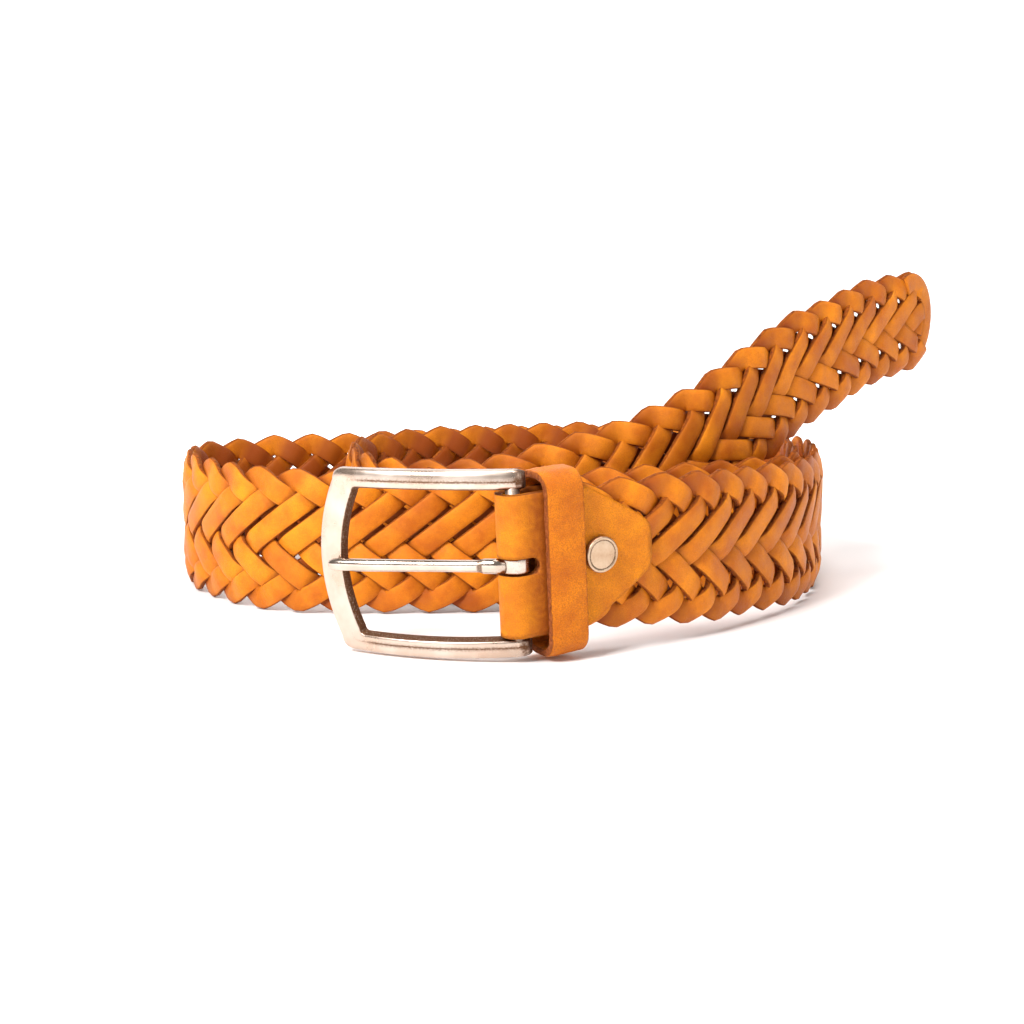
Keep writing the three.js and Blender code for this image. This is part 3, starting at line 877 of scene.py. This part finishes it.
def makeKeeper():
    random = np.random.default_rng(keeper["seed"])
    halfDepth = layerInside + tab["leather"] + tab["fit"] + keeper["leather"] / 2
    halfHeight = (keeper["height"] - keeper["leather"]) / 2
    corner = keeper["corner"] - keeper["leather"] / 2
    path = []
    for cx, cy, start in ((1, 1, 0), (-1, 1, 90), (-1, -1, 180), (1, -1, 270)):
        for i in range(keeper["cornerSteps"] + 1):
            angle = math.radians(start + 90 * i / keeper["cornerSteps"])
            path.append((cx * (halfDepth - corner) + corner * math.cos(angle),
                         cy * (halfHeight - corner) + corner * math.sin(angle)))
    loop = np.array(path + path[:1])
    run = np.concatenate([[0], np.cumsum(np.linalg.norm(np.diff(loop, axis=0), axis=1))])
    stations = keeper["stations"]
    places = np.linspace(0, run[-1], stations, endpoint=False)
    middle = np.stack([np.interp(places, run, loop[:, k]) for k in range(2)], axis=1)
    ahead = np.roll(middle, -1, axis=0) - np.roll(middle, 1, axis=0)
    ahead /= np.linalg.norm(ahead, axis=1)[:, None]
    outward = np.stack([ahead[:, 1], -ahead[:, 0]], axis=1)
    section, edges = roundedSection(keeper["length"], keeper["leather"], keeper["edgeRound"],
                                    keeper["edgeSteps"], keeper["crown"])
    centre = barPoint + tabAlong * (keeper["start"] + keeper["length"] / 2) + rootUp * keeper["lift"]
    points = []
    cutEdge = []
    for i in range(stations):
        wobble = random.normal(0, keeper["wobble"], len(section))
        for (wide, thick), edge, shake in zip(section, edges, wobble):
            depth, height = middle[i] + outward[i] * (thick + shake)
            along = wide + edge * shake * keeper["edgeWobble"]
            points.append(centre + tabAlong * along + tabBack * depth + rootUp * height)
            cutEdge.append(edge)
    tone = np.repeat(keeper["tone"] + keeper["toneWander"] * random.random(stations), len(section))
    piece = newPiece("keeper_loop_leather", points, ringFaces(stations, len(section), True), "belt",
                     keeperLeather, {"cutEdge": cutEdge, "tone": tone})
    faceOutward(piece)
    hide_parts("keeper_loop")


makeKeeper()

stud = {
    "capDiameter": 0.0098,
    "capHeight": 0.0017,
    "backDiameter": 0.0084,
    "backHeight": 0.0011,
    "postDiameter": 0.0034,
    "sides": 72,
    # share of the radius, share of the height, and how dark the plating is there
    "cap": [(0.02, 0.86, 0.2), (0.45, 0.87, 0.15), (0.74, 0.88, 0.3), (0.80, 0.84, 1.0),
            (0.84, 0.92, 0.6), (0.90, 1.0, 0.0), (0.96, 0.94, 0.0), (0.995, 0.72, 0.1),
            (1.0, 0.45, 0.4), (0.985, 0.12, 0.9), (0.95, 0.0, 1.0)],
    "back": [(0.95, 0.0, 0.9), (1.0, 0.5, 0.3), (0.93, 1.0, 0.1), (0.02, 1.0, 0.0)],
}


def makeStud():
    seat = layerInside + tab["leather"] + tab["fit"]
    cap = stud["capDiameter"] / 2
    plate = stud["backDiameter"] / 2
    post = stud["postDiameter"] / 2
    profile = [(cap * share, seat + stud["capHeight"] * height, darkShare)
               for share, height, darkShare in stud["cap"]]
    profile += [(post, seat, 1.0), (post, -seat, 1.0)]
    profile += [(plate * share, -seat - stud["backHeight"] * height, darkShare)
                for share, height, darkShare in stud["back"]]
    centre = barPoint + tabAlong * tab["studPlace"]
    points = []
    low = []
    for radius, ahead, darkShare in profile:
        for i in range(stud["sides"]):
            angle = 2 * math.pi * i / stud["sides"]
            points.append(centre - tabBack * ahead + tabAlong * radius * math.cos(angle)
                          + rootUp * radius * math.sin(angle))
            low.append(darkShare)
    piece = newPiece("snap_stud_cap", points, ringFaces(len(profile), stud["sides"]), "belt",
                     studPlating, {"platingDark": low})
    faceOutward(piece)
    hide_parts("snap_stud")


makeStud()
print("braided belt: keeper and stud made")

buckle = {
    "length": 0.0554,
    "height": 0.0502,
    "railInside": 0.0196,
    "thickness": 0.0042,
    "endThickness": 0.0033,
    "bow": 0.0046,
    "swell": 0.00045,
    "taper": 0.02,
    "crown": 0.0055,
    "windowCrown": 0.0044,
    "corner": 0.003,
    "windowCorner": 0.0012,
    "endBar": 0.0083,
    "railEnd": 0.0028,
    "bar": 0.0038,
    "barSides": 24,
    "barSeat": 0.002,
    "barDull": 0.6,
    "yaw": 19.7,
    "railPoints": 41,
    "cornerSteps": 12,
    "endPoints": 21,
    "pinch": (0.80, 0.95),  # at the last two sections of each rail
    "pinchDull": 0.8,
    # painted reflection: where the dark line along the rails' crest lies, and where it fades out near the
    # end bar
    "lineSpan": (0.4, 0.7),
    "lineEnd": 0.049,
    "lineFade": 0.010,
    # share across the rail from its outer side, share of half the thickness, and how dark the plating is
    # there
    # the dark spots from 0.46 to 0.62 across lie on the crest of the front: a painted reflection line
    "front": [(0.0, 0.28, 0.2), (0.03, 0.58, 0.0), (0.10, 0.76, 0.0), (0.30, 0.90, 0.0),
              (0.46, 0.97, 0.6), (0.54, 1.0, 1.0), (0.62, 0.99, 0.5), (0.76, 0.97, 0.0),
              (0.845, 0.92, 0.0), (0.87, 0.86, 0.9), (0.89, 0.74, 1.0), (0.99, -0.1, 1.0)],
    "back": [(1.0, -0.6, 1.0), (0.95, -0.9, 0.4), (0.85, -1.0, 0.2), (0.5, -1.0, 0.2),
             (0.15, -1.0, 0.2), (0.05, -0.9, 0.2), (0.0, -0.6, 0.3)],
}
buckleAlong, buckleFront = leaningPair(180 - buckle["yaw"])


def bowAt(along):
    return 4 * buckle["bow"] * along * (buckle["length"] - along) / buckle["length"] ** 2


def frameHalf(half, along):
    part = along / buckle["length"]
    return half * (1 - buckle["taper"] * part) + 4 * buckle["swell"] * part * (1 - part)


def buckleSpot(along, height, ahead):
    return barPoint + buckleAlong * along + buckleFront * (ahead + bowAt(along)) + rootUp * height


def frameLine(half, end, crown, corner):
    # one side of the open frame, from the upper rail's end round to the lower one's
    cornerPlace = end - crown
    straight = cornerPlace - corner + buckle["railEnd"]
    along = -buckle["railEnd"] + straight * np.linspace(0, 1, buckle["railPoints"])
    points = [(x, frameHalf(half, x)) for x in along]
    top = frameHalf(half, cornerPlace) - corner
    for i in range(1, buckle["cornerSteps"]):
        angle = math.pi / 2 * (1 - i / buckle["cornerSteps"])
        points.append((cornerPlace - corner + corner * math.cos(angle), top + corner * math.sin(angle)))
    for share in np.linspace(1, 0, buckle["endPoints"]):
        points.append((cornerPlace + crown * (1 - share ** 2), top * share))
    return np.array(points + [(x, -y) for x, y in reversed(points[:-1])])


def makeBuckle():
    outer = frameLine(buckle["height"] / 2, buckle["length"], buckle["crown"], buckle["corner"])
    inner = frameLine(buckle["railInside"], buckle["length"] - buckle["endBar"], buckle["windowCrown"],
                      buckle["windowCorner"])
    section = buckle["front"] + buckle["back"]
    lineFrom, lineTo = buckle["lineSpan"]
    points = []
    low = []
    count = len(outer)
    for i, (out, inside) in enumerate(zip(outer, inner)):
        fromEnd = min(i, count - 1 - i)
        pinched = fromEnd < len(buckle["pinch"])
        pinch = buckle["pinch"][fromEnd] if pinched else 1.0
        middle = (out + inside) / 2
        part = max(0, out[0]) / buckle["length"]
        half = (buckle["thickness"] + (buckle["endThickness"] - buckle["thickness"]) * part) / 2
        for across, thick, darkShare in section:
            spot = middle + (out + (inside - out) * across - middle) * pinch
            points.append(buckleSpot(spot[0], spot[1], half * thick * pinch))
            if lineFrom < across < lineTo:  # the painted reflection line runs along the rails only
                darkShare *= min(1, max(0, (buckle["lineEnd"] - spot[0]) / buckle["lineFade"]))
            low.append(min(1.0, darkShare + (buckle["pinchDull"] if pinched else 0)))
    faces = ringFaces(count, len(section))
    start = len(points)
    radius = buckle["bar"] / 2
    sides = buckle["barSides"]
    span = buckle["railInside"] + buckle["barSeat"]
    for height in (-span, span):
        for i in range(sides):
            angle = 2 * math.pi * i / sides
            points.append(buckleSpot(radius * math.cos(angle), height,
                                     radius * math.sin(angle) - bowAt(radius * math.cos(angle))))
            low.append(buckle["barDull"])
    faces += [tuple(start + i for i in f) for f in ringFaces(2, sides)]
    piece = newPiece("buckle_frame_metal", points, faces, "buckle", framePlating,
                     {"platingDark": low})
    faceOutward(piece)
    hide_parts("buckle_frame")


makeBuckle()

prong = {
    "width": 0.004,
    "thickness": 0.0032,
    "overhang": 0.0045,
    "ringWall": 0.0016,
    "clearance": 0.0003,
    "droop": 0.0009,
    "seat": 0.45,
    "levelFrom": 0.8,
    "squareness": 0.92,
    "sides": 28,
    # share of the length, width and thickness, and how dark the plating is there
    "shape": [(0.03, 1.0, 0.90, 0.5), (0.10, 1.0, 1.0, 0.3), (0.145, 1.0, 1.0, 0.1),
              (0.155, 0.96, 0.96, 0.9), (0.175, 0.80, 0.88, 0.9), (0.19, 0.80, 0.88, 0.1),
              (0.35, 0.80, 0.88, 0.0), (0.55, 0.82, 0.9, 0.0), (0.75, 0.86, 0.9, 0.0),
              (0.88, 0.86, 0.88, 0.0), (0.94, 0.84, 0.84, 0.0), (0.975, 0.74, 0.74, 0.2),
              (0.993, 0.56, 0.54, 0.3), (1.0, 0.30, 0.30, 0.3)],
    "ringSteps": 40,
    "ringBevel": 0.97,
    "ringFlat": 0.42,
    "ringDull": 0.4,
}


def makeProng():
    ringInside = buckle["bar"] / 2 + prong["clearance"]
    ringOutside = ringInside + prong["ringWall"]
    length = buckle["length"] - prong["overhang"]
    rest = buckle["endThickness"] / 2 + bowAt(buckle["length"] - buckle["endBar"]) + prong["clearance"]
    root = ringOutside - prong["seat"] * prong["thickness"]
    seat = rest + prong["seat"] * prong["thickness"]
    sides = prong["sides"]
    points = []
    low = []
    for along, width, thick, darkShare in prong["shape"]:
        middle = root + (seat - root) * min(1, along / prong["levelFrom"])
        for i in range(sides):
            angle = 2 * math.pi * i / sides
            # the wire is slightly square
            c, s = (math.copysign(abs(part) ** prong["squareness"], part)
                    for part in (math.cos(angle), math.sin(angle)))
            ahead = middle + c * thick * prong["thickness"] / 2
            height = s * width * prong["width"] / 2 - prong["droop"] * along
            points.append(barPoint + buckleAlong * along * length + buckleFront * ahead + rootUp * height)
            low.append(darkShare)
    faces = ringFaces(len(prong["shape"]), sides)
    start = len(points)
    bevelled = ringOutside * prong["ringBevel"]
    section = [(ringInside, -0.5), (bevelled, -0.5), (ringOutside, -prong["ringFlat"]),
               (ringOutside, prong["ringFlat"]), (bevelled, 0.5), (ringInside, 0.5)]
    steps = prong["ringSteps"]
    for i in range(steps):
        angle = 2 * math.pi * i / steps
        for radius, share in section:
            points.append(barPoint + buckleAlong * radius * math.cos(angle)
                          + buckleFront * radius * math.sin(angle) + rootUp * share * prong["width"])
            low.append(prong["ringDull"])
    faces += [tuple(start + i for i in f) for f in ringFaces(steps, len(section), True)]
    piece = newPiece("buckle_prong_metal", points, faces, "prong", prongPlating,
                     {"platingDark": low})
    faceOutward(piece)
    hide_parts("buckle_prong")


makeProng()
print("braided belt: buckle and prong made")

studio = {
    "halfWidth": 4.0,
    "front": -4.0,
    "bendStart": 1.2,
    "bendRadius": 0.8,
    "bendSteps": 16,
    "height": 3.5,
    "floorGap": 0.00004,
    "floorColour": (0.88, 0.86, 0.85, 1),
    "floorRough": 0.7,
    "floorSheen": 0.2,
    "glowColour": (1, 1, 1, 1),
    "glow": 0.75,
    "glowFrom": 0.17,
    "glowTo": 0.42,
    "aim": (0, 0, 0.03),
    "sky": (1.0, 0.99, 0.98, 1),
    "skyStrength": 0.26,
    # name, place, size, power
    "lamps": [("keySoftbox", (-0.60, -0.75, 0.75), 0.40, 21.0),
              ("fillSoftbox", (0.85, -0.75, 0.55), 0.6, 3.0),
              ("topSoftbox", (0.05, -0.05, 1.1), 0.6, 8.0)],
}


def makeBackdrop():
    # pale sweep: floor, bend and wall in one sheet
    profile = [(studio["front"], 0.0)]
    for i in range(studio["bendSteps"] + 1):
        angle = math.pi / 2 * i / studio["bendSteps"]
        profile.append((studio["bendStart"] + studio["bendRadius"] * math.sin(angle),
                        studio["bendRadius"] * (1 - math.cos(angle))))
    profile.append((profile[-1][0], studio["height"]))
    points = [(side * studio["halfWidth"], y, z) for y, z in profile for side in (-1, 1)]
    faces = [(2 * i, 2 * i + 1, 2 * i + 3, 2 * i + 2) for i in range(len(profile) - 1)]
    mesh = bpy.data.meshes.new("studioFloor")
    mesh.from_pydata(points, [], faces)
    for polygon in mesh.polygons:
        polygon.use_smooth = True
    floor = bpy.data.objects.new("studioFloor", mesh)
    floor.location.z = floorLevel - studio["floorGap"]
    scene.collection.objects.link(floor)
    material, tree, shader, where = newMaterial("paleFloor")
    shader.inputs["Base Color"].default_value = studio["floorColour"]
    shader.inputs["Roughness"].default_value = studio["floorRough"]
    shader.inputs["Specular IOR Level"].default_value = studio["floorSheen"]
    distance = tree.nodes.new("ShaderNodeVectorMath")
    distance.operation = "LENGTH"
    tree.links.new(where, distance.inputs[0])
    glow = spread(tree, distance.outputs["Value"], studio["glowFrom"], studio["glowTo"], 0.0,
                  studio["glow"])
    shader.inputs["Emission Color"].default_value = studio["glowColour"]
    tree.links.new(glow, shader.inputs["Emission Strength"])
    mesh.materials.append(material)


def makeLight():
    world = bpy.data.worlds.new("studioLight")
    world.use_nodes = True
    sky = world.node_tree.nodes["Background"]
    sky.inputs["Color"].default_value = studio["sky"]
    sky.inputs["Strength"].default_value = studio["skyStrength"]
    scene.world = world
    for name, place, size, power in studio["lamps"]:
        lamp = bpy.data.lights.new(name, "AREA")
        lamp.size = size
        lamp.energy = power
        holder = bpy.data.objects.new(name, lamp)
        holder.location = place
        aim = Vector(studio["aim"]) - Vector(place)
        holder.rotation_euler = aim.to_track_quat("-Z", "Y").to_euler()
        scene.collection.objects.link(holder)
    scene.view_settings.view_transform = "Standard"
    scene.view_settings.look = "None"
    scene.view_settings.exposure = 0.0


makeBackdrop()
makeLight()
print("braided belt: studio lit")
